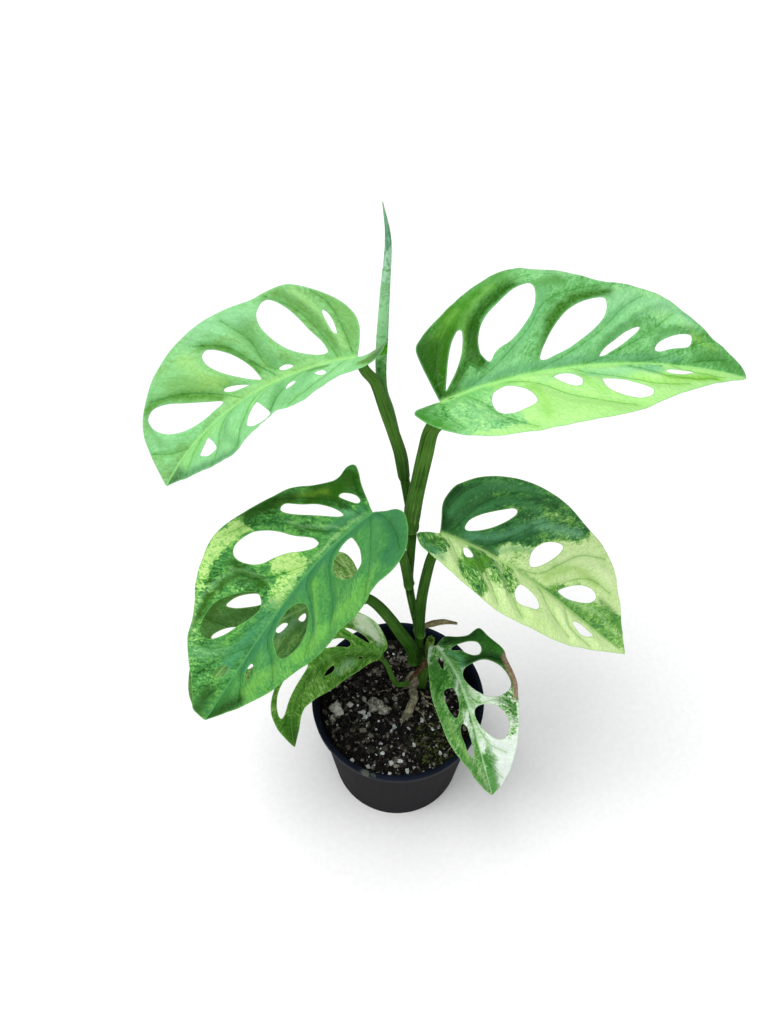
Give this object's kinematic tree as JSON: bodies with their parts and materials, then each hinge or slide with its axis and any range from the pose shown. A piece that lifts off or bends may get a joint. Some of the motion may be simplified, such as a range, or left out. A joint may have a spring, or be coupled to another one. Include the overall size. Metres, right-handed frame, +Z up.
{
  "type": "potted monstera adansonii",
  "caption": "Variegated swiss cheese vine with windowed oval leaves on a short zigzag stem and a furled new leaf, growing from chunky soil in a round tapered nursery pot.",
  "frame": {"origin": "middle of the pot's flat underside", "axes": "+Z up along the pot's axis; the plant faces -Y, towards the viewer of the picture; +X is to the picture's right"},
  "size_m": [0.2456, 0.121, 0.3756],
  "materials": {
    "pot_plastic": "satin black moulded plastic",
    "potting_mix": "damp crumbly bark, coir and perlite mix",
    "stem_green": "satin living stem",
    "petiole_green": "satin ribbed leaf stalk",
    "blade_upper_right": "waxy satin leaf, half green and half lime",
    "blade_upper_left": "waxy satin leaf, pale mint green",
    "blade_middle_left": "waxy satin leaf, mid green with cream marbling",
    "blade_lower_right": "waxy satin leaf, cream and dark green sectors",
    "blade_low_right": "waxy satin leaf, green with a white sector",
    "blade_low_left": "waxy satin leaf, mottled green",
    "blade_rear_left": "waxy satin leaf, olive green with lime mottling",
    "furled_leaf": "satin pale new leaf, still rolled",
    "leaf_stub": "cut green leaf base",
    "root_bark": "rough woody root",
    "dry_sheath": "papery dry sheath"
  },
  "bodies": {
    "root": {"pot": "pot_plastic", "soil": "potting_mix", "main_stem": "stem_green", "petiole_upper_right": "petiole_green", "petiole_upper_left": "petiole_green", "petiole_middle_left": "petiole_green", "petiole_lower_right": "petiole_green", "petiole_low_right": "petiole_green", "petiole_low_left": "petiole_green", "petiole_rear_left": "petiole_green", "blade_upper_right": "blade_upper_right", "blade_upper_left": "blade_upper_left", "blade_middle_left": "blade_middle_left", "blade_lower_right": "blade_lower_right", "blade_low_right": "blade_low_right", "blade_low_left": "blade_low_left", "blade_rear_left": "blade_rear_left", "furled_leaf": "furled_leaf", "leaf_stub": "leaf_stub", "woody_root": "root_bark", "dry_sheath": "dry_sheath"}
  },
  "joints": []
}
